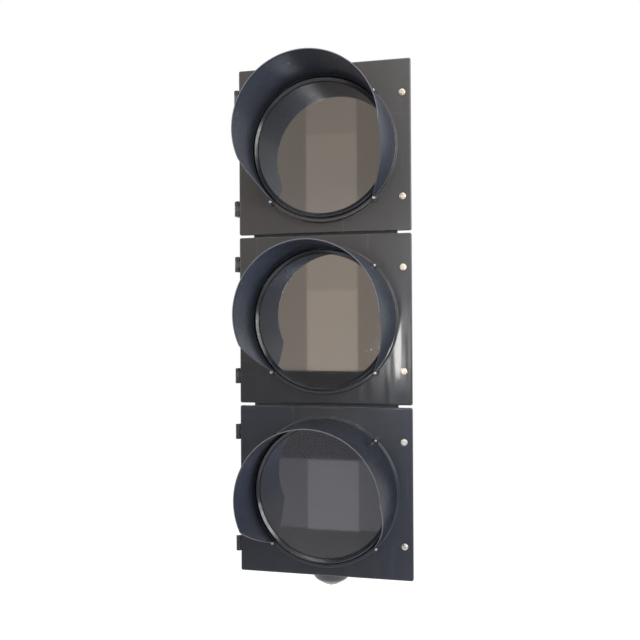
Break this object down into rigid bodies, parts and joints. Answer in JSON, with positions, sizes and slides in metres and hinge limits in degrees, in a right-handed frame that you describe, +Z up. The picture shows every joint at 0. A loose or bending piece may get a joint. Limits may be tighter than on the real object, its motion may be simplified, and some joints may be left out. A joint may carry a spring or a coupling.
{
  "type": "traffic signal head",
  "caption": "Upright road traffic signal head: stacked square sections, each with a hinged door, a round smoked lens in a glossy bezel and a cutaway visor over it.",
  "frame": {"origin": "on the vertical coupling axis, in the plane of the seat on top of the upper section, where the upper bracket holds the head", "axes": "+Z up, the lenses face -Y, +X is the side of the door screws (the viewer's right from the front)"},
  "size_m": [0.3965, 0.3058, 1.1574],
  "materials": {
    "housing_plastic": "moulded charcoal polycarbonate, satin",
    "door_plastic": "moulded charcoal polycarbonate, semi-gloss, lightly scuffed",
    "visor_plastic": "thin moulded polycarbonate, semi-gloss",
    "bezel_plastic": "polished black plastic",
    "lens": "flat smoked polycarbonate, mirror-smooth",
    "rubber": "black sealing rubber",
    "optic_plastic": "grey moulded plastic",
    "circuit_board": "green solder-masked board",
    "steel": "stainless steel",
    "screw_metal": "brass-plated steel",
    "nylon": "glass-filled nylon",
    "terminal_plastic": "grey terminal plastic"
  },
  "bodies": {
    "stack": {"housing_top": "housing_plastic", "hinge_pin_top_upper": "steel", "hinge_pin_top_lower": "steel", "housing_middle": "housing_plastic", "hinge_pin_middle_upper": "steel", "hinge_pin_middle_lower": "steel", "housing_bottom": "housing_plastic", "hinge_pin_bottom_upper": "steel", "hinge_pin_bottom_lower": "steel", "coupler_upper": "nylon", "coupler_nut_upper_above": "nylon", "coupler_nut_upper_below": "nylon", "joint_seal_upper": "rubber", "coupler_lower": "nylon", "coupler_nut_lower_above": "nylon", "coupler_nut_lower_below": "nylon", "joint_seal_lower": "rubber", "bottom_plug": "door_plastic", "bottom_plug_nut": "nylon", "bottom_plug_screw": "steel", "terminal_block": "terminal_plastic"},
    "door_top": {"door_top": "door_plastic", "door_gasket_top": "rubber", "visor_top": "visor_plastic", "lens_top": "lens", "bezel_top": "bezel_plastic", "optic_shell_top": "optic_plastic", "led_board_top": "circuit_board", "visor_screw_top_upper_left": "steel", "visor_screw_top_upper_right": "steel", "visor_screw_top_lower_left": "steel", "visor_screw_top_lower_right": "steel"},
    "screw_top_upper": {"door_screw_top_upper": "screw_metal"},
    "screw_top_lower": {"door_screw_top_lower": "screw_metal"},
    "door_middle": {"door_middle": "door_plastic", "door_gasket_middle": "rubber", "visor_middle": "visor_plastic", "lens_middle": "lens", "bezel_middle": "bezel_plastic", "optic_shell_middle": "optic_plastic", "led_board_middle": "circuit_board", "visor_screw_middle_upper_left": "steel", "visor_screw_middle_upper_right": "steel", "visor_screw_middle_lower_left": "steel", "visor_screw_middle_lower_right": "steel"},
    "screw_middle_upper": {"door_screw_middle_upper": "screw_metal"},
    "screw_middle_lower": {"door_screw_middle_lower": "screw_metal"},
    "door_bottom": {"door_bottom": "door_plastic", "door_gasket_bottom": "rubber", "visor_bottom": "visor_plastic", "lens_bottom": "lens", "bezel_bottom": "bezel_plastic", "optic_shell_bottom": "optic_plastic", "led_board_bottom": "circuit_board", "visor_screw_bottom_upper_left": "steel", "visor_screw_bottom_upper_right": "steel", "visor_screw_bottom_lower_left": "steel", "visor_screw_bottom_lower_right": "steel"},
    "screw_bottom_upper": {"door_screw_bottom_upper": "screw_metal"},
    "screw_bottom_lower": {"door_screw_bottom_lower": "screw_metal"}
  },
  "joints": [
    {"name": "door_top_swing", "type": "hinge", "parent": "stack", "child": "door_top", "pos_m": [-0.1985, -0.06, -0.1845], "axis": [0, 0, -1], "range_deg": [0, 110]},
    {"name": "screw_top_upper_slide", "type": "slide", "parent": "door_top", "child": "screw_top_upper", "axis": [0, -1, 0], "range_m": [0, 0.008]},
    {"name": "screw_top_lower_slide", "type": "slide", "parent": "door_top", "child": "screw_top_lower", "axis": [0, -1, 0], "range_m": [0, 0.008]},
    {"name": "door_middle_swing", "type": "hinge", "parent": "stack", "child": "door_middle", "pos_m": [-0.1985, -0.06, -0.558], "axis": [0, 0, -1], "range_deg": [0, 110]},
    {"name": "screw_middle_upper_slide", "type": "slide", "parent": "door_middle", "child": "screw_middle_upper", "axis": [0, -1, 0], "range_m": [0, 0.008]},
    {"name": "screw_middle_lower_slide", "type": "slide", "parent": "door_middle", "child": "screw_middle_lower", "axis": [0, -1, 0], "range_m": [0, 0.008]},
    {"name": "door_bottom_swing", "type": "hinge", "parent": "stack", "child": "door_bottom", "pos_m": [-0.1985, -0.06, -0.9315], "axis": [0, 0, -1], "range_deg": [0, 110]},
    {"name": "screw_bottom_upper_slide", "type": "slide", "parent": "door_bottom", "child": "screw_bottom_upper", "axis": [0, -1, 0], "range_m": [0, 0.008]},
    {"name": "screw_bottom_lower_slide", "type": "slide", "parent": "door_bottom", "child": "screw_bottom_lower", "axis": [0, -1, 0], "range_m": [0, 0.008]}
  ]
}
